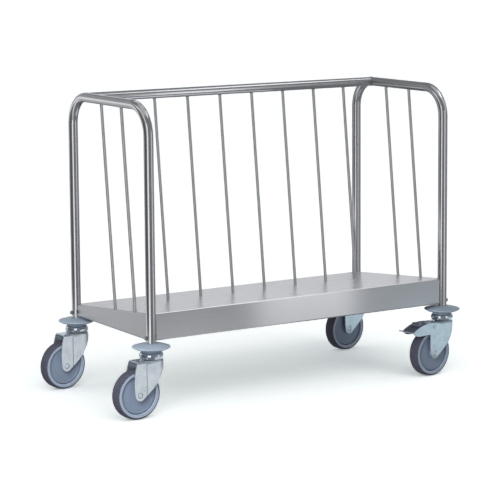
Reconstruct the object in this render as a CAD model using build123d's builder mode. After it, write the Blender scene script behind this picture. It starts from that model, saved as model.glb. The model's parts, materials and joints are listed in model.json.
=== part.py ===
from build123d import *
import os
from math import acos, atan2, cos, radians, sin

os.makedirs("parts", exist_ok=True)

# A trolley for plates: a wedge-shaped deck between two bent-tube end frames, with leaning bars at the
# back and ends, on four swivel casters with bumper discs. All sizes are in millimetres. X runs along
# the trolley, Y to the back, and the floor below the middle of the four posts is the origin.

# Tube frame
post_spacing_x = 900.0  # between post axes, along the trolley
post_spacing_y = 405.0  # between post axes, front to back
frame_rise = 582.0  # top tubes' axis above the deck's lower edge
tube_diameter = 25.0
tube_wall = 1.5
bend_radius = 75.0  # on the tube's centre line
rail_setback = 77.5  # back rail in front of the rear posts

# Leaning bars
bar_diameter = 8.0
bar_lean = 6.5  # degrees: a bar's foot stands in front of its top
bar_stub = 3.0  # bar end left below the deck sheet
bar_hole_clearance = 0.15
back_bar_count = 8
back_bar_pitch = 100.0
side_bar_pitch = 106.0  # between the two side bars of an end
side_bar_inset = 5.0  # inside the plane of the end frame

# Folded deck
deck_front_height = 69.0
deck_rear_height = 29.0
deck_overhang = 5.0  # aprons outside the post axes
deck_lift = 6.0  # deck's lower edge above the posts' open ends
deck_sheet = 1.5
deck_fold = 3.0  # outer radius of the folds
deck_lip = 12.0  # return lip at the lower edge
post_notch_clearance = 0.5
post_notch_depth = 12.0

# Stiffening channels under the deck
channel_width = 40.0
channel_depth = 20.0
channel_flange = 14.0
channel_end_gap = 30.0  # from the deck's ends
channel_bar_gap = 15.0  # rear channel in front of the back bars' feet
channel_pitch = 110.0

# Caster stack
wheel_diameter = 125.0
tread_width = 31.0
caster_trail = 46.0  # axle behind the swivel axis
crown_gap = 18.5  # tread to the crown's underside
head_diameter = 60.0
head_height = 15.5
head_girth_rise = 4.5  # widest place above the underside
head_foot_diameter = 56.0
head_top_diameter = 52.0
head_shoulder = 1.0
head_gap = 2.0  # crown to swivel head, bridged by the balls
bumper_diameter = 96.0
bumper_height = 20.5
bumper_rim = 4.0  # thickness at the edge
bumper_rim_drop = 8.0  # middle of the edge below the disc's top
bumper_belly = 2.2  # swell of the disc's underside
bumper_hub_diameter = 49.0
bumper_hub_height = 6.0
swivel_turns = {"front_left": 3.0, "front_right": 7.0, "rear_left": 6.0, "rear_right": 7.5}

# Stem, king pin and balls
stem_length = 50.0
stem_clearance = 0.05
pin_diameter = 12.0
pin_head_diameter = 30.0
pin_head = 3.0
pin_end_diameter = 16.0
pin_end = 2.0
running_clearance = 0.05
pin_head_gap = 0.4
ball_diameter = 5.0
ball_circle = 34.0
ball_count = 10
ball_clearance = 0.12
screw_lift = 8.0  # stem screws above the deck's lower edge
screw_diameter = 6.0
screw_reach = 10.0
screw_flange_diameter = 11.5
screw_flange = 1.2
screw_head_across = 8.0
screw_head = 4.0

# Pressed fork
fork_sheet = 3.0
fork_gap = 38.0  # between the legs
fork_nose = 32.0  # crown in front of the swivel axis
fork_bend = 6.0  # outer radius of the crown's edge
leg_tip_radius = 14.0
leg_heel_rise = 33.0  # widest place of the trailing edge, above the axle
leg_heel_flare = 2.4  # and behind the tip's heel
leg_top_back = 5.8  # trailing edge behind the axle, at the crown
leg_knee_ahead = 49.5  # knee of the leading edge, ahead of the axle
leg_knee_rise = 24.5  # and above it
leg_brow_ahead = 14.0  # middle of the leading arc, ahead of the knee
leg_brow_rise = 24.0  # and above it
leg_margin = 2.0  # leg's outline runs past the crown's nose
dimple_diameter = 15.0  # pressed round the axle, at the outer face
dimple_floor_diameter = 12.0
dimple_depth = 2.2
rib_width = 23.0  # stiffening rib pressed out of a leg, at its foot
rib_proud = 1.6
rib_taper = 40.0  # degrees, of its flanks
rib_ahead = 29.5  # middle of the rib ahead of the axle

# Wheel
tyre_wall = 5.5  # rubber outside the rim
tyre_key = 5.0  # depth of the rubber's key in the rim
tyre_key_width = 20.0
tyre_shoulder = 5.0  # width of the tread's round shoulder
tyre_shoulder_drop = 4.0
tyre_crown = 0.6  # tread's middle above its shoulders
rim_width = 30.0
ring_width = 8.0  # rim's flat ring at each side
ring_edge = 1.0  # its softened inner edge
web_thickness = 8.0
hub_diameter = 30.0
hub_width = 18.0
bearing_diameter = 22.0
bearing_width = 7.0
bearing_ledge = 2.0  # hub shoulder behind a bearing
axle_diameter = 8.0
axle_head_diameter = 11.4
axle_head = 1.0
axle_nut_diameter = 11.4  # over its corners
axle_nut = 4.0
axle_end = 1.0  # bolt end past its nut
guard_gap = 1.5  # ring gap to the rim's ring
guard_sheet = 2.0
guard_bead = 3.7
guard_hub_diameter = 20.0
guard_dish = 1.0
hub_clearance = 0.5

# Foot brake
nose_root_ahead = 22.0  # nose's upper edge leaves the leg, ahead of the axle
nose_top_back = 14.0  # its highest place behind the axle
nose_top_rise = 0.3  # and above the crown's top
nose_reach = 79.0  # its tip behind the axle
nose_tip_drop = 18.6  # and below the crown's top
nose_cheek_back = 58.0  # where the lower edge curves up to the tip
nose_chin_drop = 30.7  # lower edge below the crown's top
nose_corner = 4.0
braked_crown_step = 6.0  # crown ends ahead of the axle
pivot_back = 2.0  # pedal pivot behind the axle
pivot_drop = 9.5  # below the crown's underside
pivot_pin_diameter = 6.0
pivot_head_diameter = 9.0
pivot_head = 1.6
pedal_sheet = 3.0
pedal_width = 32.0
pedal_bend = 9.0  # radius of the plate's bends
pedal_bends = [(0, 0), (18, 4.5), (44, 2.5), (80, -6.5), (102, 0)]  # behind and above the pivot
barrel_diameter = 12.0
tongue_width = 25.0
tongue_corner = 6.0
toe_bar_diameter = 12.0
toe_bar_length = 28.0
toe_bar_back = 45.0  # behind the pivot
toe_bar_rise = 9.0  # and above it
shoe_width = 26.0
pedal_press = 7.0  # degrees from released to locked
shoe_clearance = 0.35  # left over the tread when locked

# Heights, stacked up from the floor
wheel_radius = wheel_diameter / 2
crown_bottom = wheel_diameter + crown_gap
crown_top = crown_bottom + fork_sheet
head_bottom = crown_top + head_gap
head_top = head_bottom + head_height
tube_end = head_top + bumper_height
deck_bottom = tube_end + deck_lift
deck_front_top = deck_bottom + deck_front_height
deck_rear_top = deck_bottom + deck_rear_height
rail_height = deck_bottom + frame_rise
screw_height = deck_bottom + screw_lift

# Places in plan
tube_radius = tube_diameter / 2
bar_radius = bar_diameter / 2
post_x = post_spacing_x / 2
post_y = post_spacing_y / 2
rail_y = post_y - rail_setback
deck_half_x = post_x + deck_overhang
deck_half_y = post_y + deck_overhang
corners = {
    "front_left": (-1, -1),
    "front_right": (1, -1),
    "rear_left": (-1, 1),
    "rear_right": (1, 1),
}
braked_corners = ("front_right", "rear_right")
post_points = {name: (side * post_x, row * post_y, 0) for name, (side, row) in corners.items()}

# The deck falls evenly from its front edge to its rear edge
deck_fall = (deck_front_top - deck_rear_top) / (2 * deck_half_y)
lean = radians(bar_lean)
bar_up = Vector(0, sin(lean), cos(lean))


def deck_top_at(y):
    """Height of the deck's top face at a distance behind the middle."""
    return deck_front_top - deck_fall * (y + deck_half_y)


def bar_length_to_deck(y_top):
    """Length along a bar from the top tube's axis to the deck's top face."""
    return (rail_height - deck_top_at(y_top)) / (bar_up.Z + deck_fall * bar_up.Y)


def bar_plane(x, y_top):
    """Plane square to a bar, where its axis meets the top tube's height."""
    return Plane(origin=(x, y_top, rail_height), x_dir=(1, 0, 0), z_dir=bar_up)


def save(piece, name):
    """Labels a finished piece and writes it as its own node."""
    piece.label = name
    export_step(piece, f"parts/{name}.step")


# Back bars hang from the back rail, side bars from the end frames' top runs
back_bars = {
    f"back_bar_{i + 1}": ((i - (back_bar_count - 1) / 2) * back_bar_pitch, rail_y)
    for i in range(back_bar_count)
}
side_bars = {
    f"{end}_side_bar_{row}": (side * (post_x - side_bar_inset), step * side_bar_pitch / 2)
    for end, side in (("left", -1), ("right", 1))
    for row, step in (("rear", 1), ("front", -1))
}


def end_frame_path(side):
    """Centre line of an end frame: rear post, bend, top run, bend, front post."""
    with BuildLine(Plane.YZ.offset(side * post_x)) as path:
        FilletPolyline(
            (post_y, tube_end),
            (post_y, rail_height),
            (-post_y, rail_height),
            (-post_y, tube_end),
            radius=bend_radius,
        )
    return path.line


# End frames: one bent tube each, drilled on the outboard side for the stem screws
for end, side in (("left", -1), ("right", 1)):
    run = end_frame_path(side)
    with BuildPart() as end_frame:
        with BuildSketch(Plane(origin=run @ 0, z_dir=run % 0)):
            Circle(tube_radius)
            Circle(tube_radius - tube_wall, mode=Mode.SUBTRACT)
        sweep(path=run)
        with Locations(*[(side * (post_x + tube_radius), row * post_y, screw_height) for row in (-1, 1)]):
            Cylinder(
                screw_diameter / 2 + stem_clearance,
                4 * tube_wall,
                rotation=(0, 90, 0),
                mode=Mode.SUBTRACT,
            )
    save(end_frame.part, f"{end}_end_frame")

# Back rail: a straight tube with its ends coped to the end frames
with BuildPart() as back_rail:
    with BuildSketch(Plane.YZ):
        with Locations((rail_y, rail_height)):
            Circle(tube_radius)
            Circle(tube_radius - tube_wall, mode=Mode.SUBTRACT)
    extrude(amount=post_x, both=True)
    for side in (-1, 1):
        run = end_frame_path(side)
        with BuildSketch(Plane(origin=run @ 0, z_dir=run % 0)):
            Circle(tube_radius)
        sweep(path=run, mode=Mode.SUBTRACT)
save(back_rail.part, "back_rail")

# Bars: round rod, coped to the tube above and passed through the deck sheet below
for name, (x, y_top) in (back_bars | side_bars).items():
    tube_turn = (0, 90, 0) if name in back_bars else (90, 0, 0)
    tube_x = x if name in back_bars else x + side_bar_inset * (1 if x > 0 else -1)
    with BuildPart() as bar:
        with BuildSketch(bar_plane(x, y_top)):
            Circle(bar_radius)
        extrude(amount=-(bar_length_to_deck(y_top) + deck_sheet + bar_stub))
        with Locations((tube_x, y_top, rail_height)):
            Cylinder(tube_radius, 2 * tube_diameter, rotation=tube_turn, mode=Mode.SUBTRACT)
    save(bar.part, name)


def deck_wedge(inset):
    """Wedge of the deck's outside with its round folds; inset by the sheet, the wedge of its inside."""
    with BuildPart() as wedge:
        with BuildSketch(Plane.YZ):
            with BuildLine():
                Polyline(
                    (-deck_half_y, deck_bottom),
                    (deck_half_y, deck_bottom),
                    (deck_half_y, deck_rear_top),
                    (-deck_half_y, deck_front_top),
                    close=True,
                )
            make_face()
            offset(amount=-inset, kind=Kind.INTERSECTION)
        extrude(amount=deck_half_x - inset, both=True)
        flats = wedge.faces().sort_by(Axis.Z)
        fillet(flats[0].edges() + flats[-1].edges(), deck_fold - inset)
    return wedge.part


# Deck: one folded sheet, a wedge open below, with return lips, notched for the posts and drilled for
# the bars
deck_outside = deck_wedge(0)
deck_inside = deck_wedge(deck_sheet)
with BuildPart() as deck:
    add(deck_outside)
    add(deck_inside, mode=Mode.SUBTRACT)
    with BuildSketch(Plane.XY.offset(deck_bottom)):
        Rectangle(2 * (deck_half_x - deck_lip), 2 * (deck_half_y - deck_lip))
    extrude(amount=deck_sheet, mode=Mode.SUBTRACT)
    for x, y, _ in post_points.values():
        with Locations((x, y, deck_bottom)):
            Cylinder(tube_radius, 4 * deck_front_height, mode=Mode.SUBTRACT)
        with Locations((x, y, deck_top_at(y) - post_notch_depth)):
            Cylinder(
                tube_radius + post_notch_clearance,
                deck_front_height,
                align=(Align.CENTER, Align.CENTER, Align.MIN),
                mode=Mode.SUBTRACT,
            )
    for x, y_top in (back_bars | side_bars).values():
        reach = bar_length_to_deck(y_top)
        with BuildSketch(bar_plane(x, y_top).offset(-reach + channel_depth)):
            Circle(bar_radius + bar_hole_clearance)
        extrude(amount=-2 * channel_depth, mode=Mode.SUBTRACT)
save(deck.part, "deck")

# Stiffening channels: hat sections welded under the sheet, along the trolley
foot_y = rail_y - bar_length_to_deck(rail_y) * bar_up.Y
rear_channel_y = foot_y - bar_radius - channel_bar_gap - channel_flange - channel_width / 2
deck_normal = Vector(0, deck_fall, 1).normalized()
front_channel_y = rear_channel_y - channel_pitch
for name, y in (("rear_deck_channel", rear_channel_y), ("front_deck_channel", front_channel_y)):
    under_sheet = Plane(
        origin=Vector(0, y, deck_top_at(y)) - deck_normal * deck_sheet,
        x_dir=(0, 1, -deck_fall),
        z_dir=(1, 0, 0),
    )
    half = channel_width / 2
    with BuildPart() as channel:
        with BuildSketch(under_sheet):
            with BuildLine():
                outer = Polyline(
                    (-half - channel_flange, 0),
                    (-half, 0),
                    (-half, -channel_depth),
                    (half, -channel_depth),
                    (half, 0),
                    (half + channel_flange, 0),
                )
                inner = Polyline(
                    (half + channel_flange, -deck_sheet),
                    (half + deck_sheet, -deck_sheet),
                    (half + deck_sheet, -channel_depth - deck_sheet),
                    (-half - deck_sheet, -channel_depth - deck_sheet),
                    (-half - deck_sheet, -deck_sheet),
                    (-half - channel_flange, -deck_sheet),
                )
                Line(outer @ 1, inner @ 0)
                Line(inner @ 1, outer @ 0)
            make_face()
        extrude(amount=deck_half_x - channel_end_gap, both=True)
    save(channel.part, name)

# Caster stem: a plug inside the post, with the king pin and its peened head below
pin_radius = pin_diameter / 2
stem_radius = tube_radius - tube_wall - stem_clearance
pin_head_top = crown_bottom - pin_head_gap
with BuildPart() as stem:
    with BuildSketch(Plane.XZ):
        with BuildLine():
            Polyline(
                (0, tube_end + stem_length),
                (stem_radius, tube_end + stem_length),
                (stem_radius, tube_end),
                (pin_radius, tube_end),
                (pin_radius, pin_head_top),
                (pin_head_diameter / 2, pin_head_top),
                (pin_head_diameter / 2, pin_head_top - pin_head),
                (pin_end_diameter / 2, pin_head_top - pin_head),
                (pin_end_diameter / 2, pin_head_top - pin_head - pin_end),
                (0, pin_head_top - pin_head - pin_end),
                close=True,
            )
        make_face()
    revolve(axis=Axis.Z)
    with Locations((0, 0, screw_height)):
        Cylinder(
            screw_diameter / 2 + stem_clearance,
            tube_diameter,
            rotation=(0, 90, 0),
            mode=Mode.SUBTRACT,
        )
with BuildPart() as caster_stems:
    for point in post_points.values():
        add(stem.part.moved(Location(point)))
save(caster_stems.part, "caster_stems")

# Stem screws: hex flange heads outside the posts
with BuildPart() as stem_screws:
    for side, row in corners.values():
        seat = Plane(
            origin=(side * (post_x + tube_radius), row * post_y, screw_height),
            z_dir=(side, 0, 0),
        )
        with BuildSketch(seat):
            Circle(screw_flange_diameter / 2)
        extrude(amount=screw_flange)
        with BuildSketch(seat.offset(screw_flange)):
            RegularPolygon(screw_head_across / 2, 6, major_radius=False)
        extrude(amount=screw_head)
        with BuildSketch(seat):
            Circle(screw_diameter / 2)
        extrude(amount=-screw_reach)
save(stem_screws.part, "stem_screws")

# Bumper disc: a shallow saucer with a round hub below, threaded on the king pin
bumper_radius = bumper_diameter / 2
bumper_hub_radius = bumper_hub_diameter / 2
rim_middle = tube_end - bumper_rim_drop
rim_corner = bumper_radius - bumper_rim / 2
rim_bottom = rim_middle - bumper_rim / 2
hub_shoulder = head_top + bumper_hub_height
crown_land = tube_radius + 2 * tube_wall
with BuildPart() as bumper:
    with BuildSketch(Plane.XZ):
        with BuildLine():
            bore = Polyline(
                (pin_radius, tube_end),
                (pin_radius, head_top),
                (bumper_hub_radius, head_top),
                (bumper_hub_radius, hub_shoulder),
            )
            belly = ThreePointArc(
                bore @ 1,
                ((bumper_hub_radius + rim_corner) / 2, (hub_shoulder + rim_bottom) / 2 - bumper_belly),
                (rim_corner, rim_bottom),
            )
            edge = ThreePointArc(
                belly @ 1,
                (bumper_radius, rim_middle),
                (rim_corner, rim_middle + bumper_rim / 2),
            )
            dome = ThreePointArc(
                edge @ 1,
                ((rim_corner + crown_land) / 2, tube_end - bumper_rim_drop / 4),
                (crown_land, tube_end),
            )
            Line(dome @ 1, bore @ 0)
        make_face()
    revolve(axis=Axis.Z)

# Swivel head: a bright bowl-shaped ring with the upper ball track in its underside
head_radius = head_diameter / 2
ball_height = (crown_top + head_bottom) / 2
track_radius = ball_diameter / 2 + ball_clearance
with BuildPart() as swivel_head:
    with BuildSketch(Plane.XZ):
        with BuildLine():
            base = Polyline(
                (pin_radius, head_top),
                (pin_radius, head_bottom),
                (head_foot_diameter / 2, head_bottom),
            )
            side = ThreePointArc(
                base @ 1,
                (head_radius, head_bottom + head_girth_rise),
                (head_top_diameter / 2, head_top),
            )
            Line(side @ 1, base @ 0)
        make_face()
    revolve(axis=Axis.Z)
    fillet(swivel_head.faces().sort_by(Axis.Z)[-1].edges().sort_by(SortBy.LENGTH)[-1], head_shoulder)
    with Locations((0, 0, ball_height)):
        Torus(ball_circle / 2, track_radius, mode=Mode.SUBTRACT)

# Balls between every swivel head and its fork
with BuildPart() as swivel_balls:
    with Locations(*[(x, y, ball_height) for x, y, _ in post_points.values()]):
        with PolarLocations(ball_circle / 2, ball_count):
            Sphere(ball_diameter / 2)
save(swivel_balls.part, "swivel_balls")

# The rest of a caster is drawn with its swivel axis on Z and its wheel trailing towards -X
axle_x = -caster_trail
axle_point = Vector(axle_x, 0, wheel_radius)
fork_half = fork_gap / 2 + fork_sheet
wheel_axis = Axis(axle_point, (0, 1, 0))
wheel_plane = Plane(origin=axle_point, x_dir=(0, 1, 0), z_dir=(1, 0, 0))  # across, then outwards
crown_tail = caster_trail + leg_tip_radius + fork_sheet
braked_crown_tail = caster_trail - braked_crown_step
pivot_x = axle_x - pivot_back
pivot_z = crown_bottom - pivot_drop


def crown_outline(half, nose, tail):
    """Plan of the fork: straight sides and a round nose."""
    sides = Polyline((nose - half, half), (-tail, half), (-tail, -half), (nose - half, -half))
    ThreePointArc(sides @ 1, (nose, 0), sides @ 0)


def leg_outline():
    """Side view of a leg: a tapered blade from the crown to a round tip at the axle."""
    axle = Vector(axle_x, wheel_radius)
    knee = axle + Vector(leg_knee_ahead, leg_knee_rise)
    away = knee - axle
    tangent = atan2(away.Y, away.X) - acos(leg_tip_radius / away.length)
    tip_front = axle + Vector(cos(tangent), sin(tangent)) * leg_tip_radius
    heel = axle - Vector(leg_tip_radius, 0)
    top = (axle_x - leg_top_back, crown_top)
    back = ThreePointArc(top, heel + Vector(-leg_heel_flare, leg_heel_rise), heel)
    tip = ThreePointArc(back @ 1, axle - Vector(0, leg_tip_radius), tip_front)
    front = Line(tip @ 1, knee)
    nose = (fork_nose + leg_margin, crown_top)
    brow = ThreePointArc(front @ 1, knee + Vector(leg_brow_ahead, leg_brow_rise), nose)
    Line(brow @ 1, back @ 0)


def nose_outline():
    """Side view of a braked fork's nose: a beak that grows out of the leg, over the back of the wheel."""
    root = (axle_x + nose_root_ahead, crown_top - fork_bend)
    top = (axle_x - nose_top_back, crown_top + nose_top_rise)
    tip = (axle_x - nose_reach, crown_top - nose_tip_drop)
    chin_z = crown_top - nose_chin_drop
    heel_x = axle_x - leg_tip_radius - leg_heel_flare
    heel_z = wheel_radius + leg_heel_rise
    brow = ThreePointArc(root, top, tip)
    cheek = TangentArc((axle_x - nose_cheek_back, chin_z), tip, tangent=(-1, 0))
    chin = FilletPolyline(
        cheek @ 0,
        (heel_x, chin_z),
        (heel_x, heel_z),
        (axle_x + nose_root_ahead, heel_z),
        radius=(nose_corner, 0),
    )
    Line(chin @ 1, brow @ 0)


def leg_rib(row, inset):
    """Flat-topped rib on a leg's face, or its hollow one sheet further in."""
    foot = wheel_radius - leg_tip_radius
    head = crown_top - fork_bend
    face = Plane(
        origin=(axle_x + rib_ahead, row * (fork_half - inset), (foot + head) / 2),
        x_dir=(1, 0, 0),
        z_dir=(0, row, 0),
    )
    with BuildPart() as rib:
        with BuildSketch(face):
            Rectangle(rib_width - inset, head - foot - inset)
        extrude(amount=rib_proud, taper=rib_taper)
    return rib.part


# The space inside a fork, with the bend's inner radius along its upper edges
with BuildPart() as fork_hollow:
    with BuildSketch(Plane.XY.offset(crown_bottom)):
        with BuildLine():
            crown_outline(fork_gap / 2, fork_nose - fork_sheet, 2 * crown_tail)
        make_face()
    extrude(amount=-crown_bottom)
    fillet(fork_hollow.faces().sort_by(Axis.Z)[-1].edges().sort_by(Axis.X)[1:], fork_bend - fork_sheet)


def make_fork(braked):
    """Pressed fork, crown and legs in one bent sheet. A braked one has noses for the pedal."""
    ribs = [] if braked else [leg_rib(row, 0) for row in (-1, 1)]
    rib_hollows = [] if braked else [leg_rib(row, fork_sheet) for row in (-1, 1)]
    with BuildPart() as fork:
        with BuildSketch(Plane.XY.offset(crown_top)):
            with BuildLine():
                crown_outline(fork_half, fork_nose, crown_tail)
            make_face()
        extrude(amount=-crown_top)
        fillet(fork.faces().sort_by(Axis.Z)[-1].edges().sort_by(Axis.X)[1:], fork_bend)
        add(ribs)
        with BuildSketch(Plane.XZ):
            with BuildLine():
                leg_outline()
            make_face()
        extrude(amount=fork_gap, both=True, mode=Mode.INTERSECT)
        add(fork_hollow.part, mode=Mode.SUBTRACT)
        if braked:
            with BuildSketch(Plane.XY.offset(crown_bottom - fork_bend)):
                with Locations((-braked_crown_tail, 0)):
                    Rectangle(crown_tail, fork_gap, align=(Align.MAX, Align.CENTER))
            extrude(amount=2 * fork_bend, mode=Mode.SUBTRACT)
            for row in (-1, 1):
                with BuildSketch(Plane.XZ.offset(-row * fork_gap / 2)):
                    with BuildLine():
                        nose_outline()
                    make_face()
                extrude(amount=-row * fork_sheet)
            with Locations((pivot_x, 0, pivot_z)):
                Cylinder(
                    pivot_pin_diameter / 2 + running_clearance,
                    2 * fork_half,
                    rotation=(90, 0, 0),
                    mode=Mode.SUBTRACT,
                )
        else:
            add(rib_hollows, mode=Mode.SUBTRACT)
        for row in (-1, 1):
            dimple_taper = (dimple_diameter - dimple_floor_diameter) / 2
            with Locations(Plane(origin=axle_point + Vector(0, row * fork_gap / 2, 0), z_dir=(0, -row, 0))):
                Cone(
                    dimple_diameter / 2 + dimple_taper,
                    dimple_diameter / 2,
                    dimple_depth,
                    align=(Align.CENTER, Align.CENTER, Align.MIN),
                )
            with Locations(Plane(origin=axle_point + Vector(0, row * fork_half, 0), z_dir=(0, -row, 0))):
                Cone(
                    dimple_diameter / 2,
                    dimple_floor_diameter / 2,
                    dimple_depth,
                    align=(Align.CENTER, Align.CENTER, Align.MIN),
                    mode=Mode.SUBTRACT,
                )
        with Locations((0, 0, crown_top)):
            Cylinder(pin_radius + running_clearance, 4 * fork_sheet, mode=Mode.SUBTRACT)
        with Locations((0, 0, ball_height)):
            Torus(ball_circle / 2, track_radius, mode=Mode.SUBTRACT)
        with Locations(axle_point):
            Cylinder(
                axle_diameter / 2 + running_clearance,
                4 * fork_half,
                rotation=(90, 0, 0),
                mode=Mode.SUBTRACT,
            )
    return fork.part


plain_fork = make_fork(False)
braked_fork = make_fork(True)

# Axle: a bolt with a low round head sunk in the front leg's dimple, and a thin nut in the other
axle_radius = axle_diameter / 2
leg_seat = fork_half - dimple_depth
with BuildPart() as axle:
    head_face = Plane(origin=axle_point - Vector(0, leg_seat, 0), z_dir=(0, -1, 0))
    with BuildSketch(head_face):
        Circle(axle_radius)
    extrude(amount=-(2 * leg_seat + axle_nut + axle_end))
    with BuildSketch(head_face):
        Circle(axle_head_diameter / 2)
    extrude(amount=axle_head)
    fillet(axle.edges().filter_by(GeomType.CIRCLE).sort_by(Axis.Y)[0], axle_head / 3)
with BuildPart() as axle_nut_piece:
    with BuildSketch(Plane(origin=axle_point + Vector(0, leg_seat, 0), z_dir=(0, 1, 0))):
        RegularPolygon(axle_nut_diameter / 2, 6)
        Circle(axle_radius, mode=Mode.SUBTRACT)
    extrude(amount=axle_nut)
axle_set = Compound(children=[axle.part, axle_nut_piece.part])

# Rim: moulded wheel centre with a web, a hub for two bearings and a keyed seat for the tyre
rim_half = rim_width / 2
rim_radius = wheel_radius - tyre_wall
seat_radius = rim_radius - tyre_key
key_half = tyre_key_width / 2
web_half = web_thickness / 2
hub_radius = hub_diameter / 2
bearing_radius = bearing_diameter / 2
ring_radius = rim_radius - ring_width
guard_radius = ring_radius - guard_gap
hub_half = hub_width / 2
bearing_inner = hub_half - bearing_width
with BuildPart() as rim:
    with BuildSketch(wheel_plane):
        with BuildLine():
            half_rim = Polyline(
                (0, seat_radius),
                (key_half, seat_radius),
                (key_half, rim_radius),
                (rim_half, rim_radius),
                (rim_half, ring_radius + ring_edge),
                (rim_half - ring_edge, ring_radius),
                (web_half, ring_radius),
                (web_half, hub_radius),
                (hub_half, hub_radius),
                (hub_half, bearing_radius),
                (bearing_inner, bearing_radius),
                (bearing_inner, bearing_radius - bearing_ledge),
                (0, bearing_radius - bearing_ledge),
            )
            mirror(half_rim, about=Plane.YZ)
        make_face()
    revolve(axis=wheel_axis)

# Tyre: moulded round the rim, with round shoulders and a slightly crowned tread
tread_half = tread_width / 2
shoulder_radius = wheel_radius - tyre_crown
with BuildPart() as tyre:
    with BuildSketch(wheel_plane):
        with BuildLine():
            tread = ThreePointArc(
                (-tread_half + tyre_shoulder, shoulder_radius),
                (0, wheel_radius),
                (tread_half - tyre_shoulder, shoulder_radius),
            )
            shoulder = TangentArc(
                tread @ 1,
                (tread_half, shoulder_radius - tyre_shoulder_drop),
                tangent=tread % 1,
            )
            wall = Polyline(
                shoulder @ 1,
                (rim_half, rim_radius),
                (key_half, rim_radius),
                (key_half, seat_radius),
                (0, seat_radius),
            )
            mirror(shoulder, about=Plane.YZ)
            mirror(wall, about=Plane.YZ)
        make_face()
    revolve(axis=wheel_axis)

# Bearings: a sealed ring at each end of the hub, running on the axle
with BuildPart() as bearings:
    for row in (-1, 1):
        with BuildSketch(Plane(origin=axle_point + Vector(0, row * bearing_inner, 0), z_dir=(0, row, 0))):
            Circle(bearing_radius)
            Circle(axle_radius + running_clearance, mode=Mode.SUBTRACT)
        extrude(amount=bearing_width)

# Thread guards: fixed dished discs sunk in the wheel's sides, held between bearing and leg
guard_inner = hub_half + hub_clearance
guard_outer = fork_gap / 2 - dimple_depth
guard_hub_radius = guard_hub_diameter / 2
with BuildPart() as thread_guards:
    for row in (-1, 1):
        with BuildSketch(wheel_plane):
            with BuildLine():
                Polyline(
                    (row * guard_inner, axle_radius + running_clearance),
                    (row * guard_outer, axle_radius + running_clearance),
                    (row * guard_outer, guard_hub_radius),
                    (row * (guard_inner + guard_sheet), guard_hub_radius + guard_sheet),
                    (row * (guard_inner + guard_sheet - guard_dish), guard_radius - guard_bead - guard_sheet),
                    (row * (guard_inner + guard_sheet), guard_radius - guard_bead),
                    (row * (guard_inner + guard_sheet), guard_radius - guard_dish),
                    (row * (guard_inner + guard_sheet - guard_dish), guard_radius),
                    (row * (guard_inner - guard_bead), guard_radius),
                    (row * (guard_inner - guard_bead), guard_radius - guard_sheet),
                    (row * (guard_inner - guard_dish), guard_radius - guard_bead),
                    (row * guard_inner, hub_radius),
                    close=True,
                )
            make_face()
        revolve(axis=wheel_axis)

# Brake pedal: a bent plate on a barrel, with a cross bar for the toe and a tongue behind
pedal_points = [(pivot_x - back, pivot_z + rise) for back, rise in pedal_bends]
toe_bar_x = pivot_x - toe_bar_back
toe_bar_z = pivot_z + toe_bar_rise
tongue_end = -pedal_points[-1][0]
tongue_root = -pedal_points[-2][0]
with BuildPart() as brake_pedal:
    with BuildSketch(Plane.XZ):
        with BuildLine():
            FilletPolyline(*pedal_points, radius=pedal_bend)
        trace(line_width=pedal_sheet)
    extrude(amount=pedal_width / 2, both=True)
    with BuildSketch(Plane.XY.offset(pivot_z)):
        with BuildLine():
            FilletPolyline(
                (0, pedal_width / 2),
                (-tongue_root + tongue_corner, pedal_width / 2),
                (-tongue_root - tongue_corner, tongue_width / 2),
                (-tongue_end, tongue_width / 2),
                (-tongue_end, -tongue_width / 2),
                (-tongue_root - tongue_corner, -tongue_width / 2),
                (-tongue_root + tongue_corner, -pedal_width / 2),
                (0, -pedal_width / 2),
                radius=(tongue_corner / 2, tongue_corner / 2, tongue_corner, tongue_corner)
                + (tongue_corner / 2, tongue_corner / 2),
            )
            Line((0, -pedal_width / 2), (0, pedal_width / 2))
        make_face()
    extrude(amount=2 * barrel_diameter, both=True, mode=Mode.INTERSECT)
    with Locations((pivot_x, 0, pivot_z)):
        Cylinder(barrel_diameter / 2, pedal_width, rotation=(90, 0, 0))
        Cylinder(
            pivot_pin_diameter / 2 + running_clearance,
            2 * pedal_width,
            rotation=(90, 0, 0),
            mode=Mode.SUBTRACT,
        )
    with Locations((toe_bar_x, 0, toe_bar_z)):
        Cylinder(toe_bar_diameter / 2, toe_bar_length, rotation=(90, 0, 0))

# Brake shoe: a block under the pedal whose face lies round the tread when the pedal is down
press = radians(pedal_press)
reach_x = axle_x - pivot_x
reach_z = wheel_radius - pivot_z
face_x = pivot_x + reach_x * cos(press) + reach_z * sin(press)
face_z = pivot_z - reach_x * sin(press) + reach_z * cos(press)
with BuildPart() as brake_shoe:
    with BuildSketch(Plane.XZ):
        with BuildLine():
            Polyline(
                pedal_points[1],
                pedal_points[2],
                (pedal_points[2][0], wheel_radius),
                (pedal_points[1][0], wheel_radius),
                close=True,
            )
        make_face()
        with Locations((face_x, face_z)):
            Circle(wheel_radius + shoe_clearance, mode=Mode.SUBTRACT)
    extrude(amount=shoe_width / 2, both=True)
    add(brake_pedal.part, mode=Mode.SUBTRACT)

# Pedal pin: a rivet through both noses
with BuildPart() as pedal_pin:
    with Locations((pivot_x, 0, pivot_z)):
        Cylinder(pivot_pin_diameter / 2, 2 * fork_half, rotation=(90, 0, 0))
    for row in (-1, 1):
        with BuildSketch(Plane(origin=(pivot_x, row * fork_half, pivot_z), z_dir=(0, row, 0))):
            Circle(pivot_head_diameter / 2)
        extrude(amount=pivot_head)
    fillet(pedal_pin.faces().sort_by(Axis.Y)[0].edges(), pivot_head / 2)
    fillet(pedal_pin.faces().sort_by(Axis.Y)[-1].edges(), pivot_head / 2)

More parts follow.
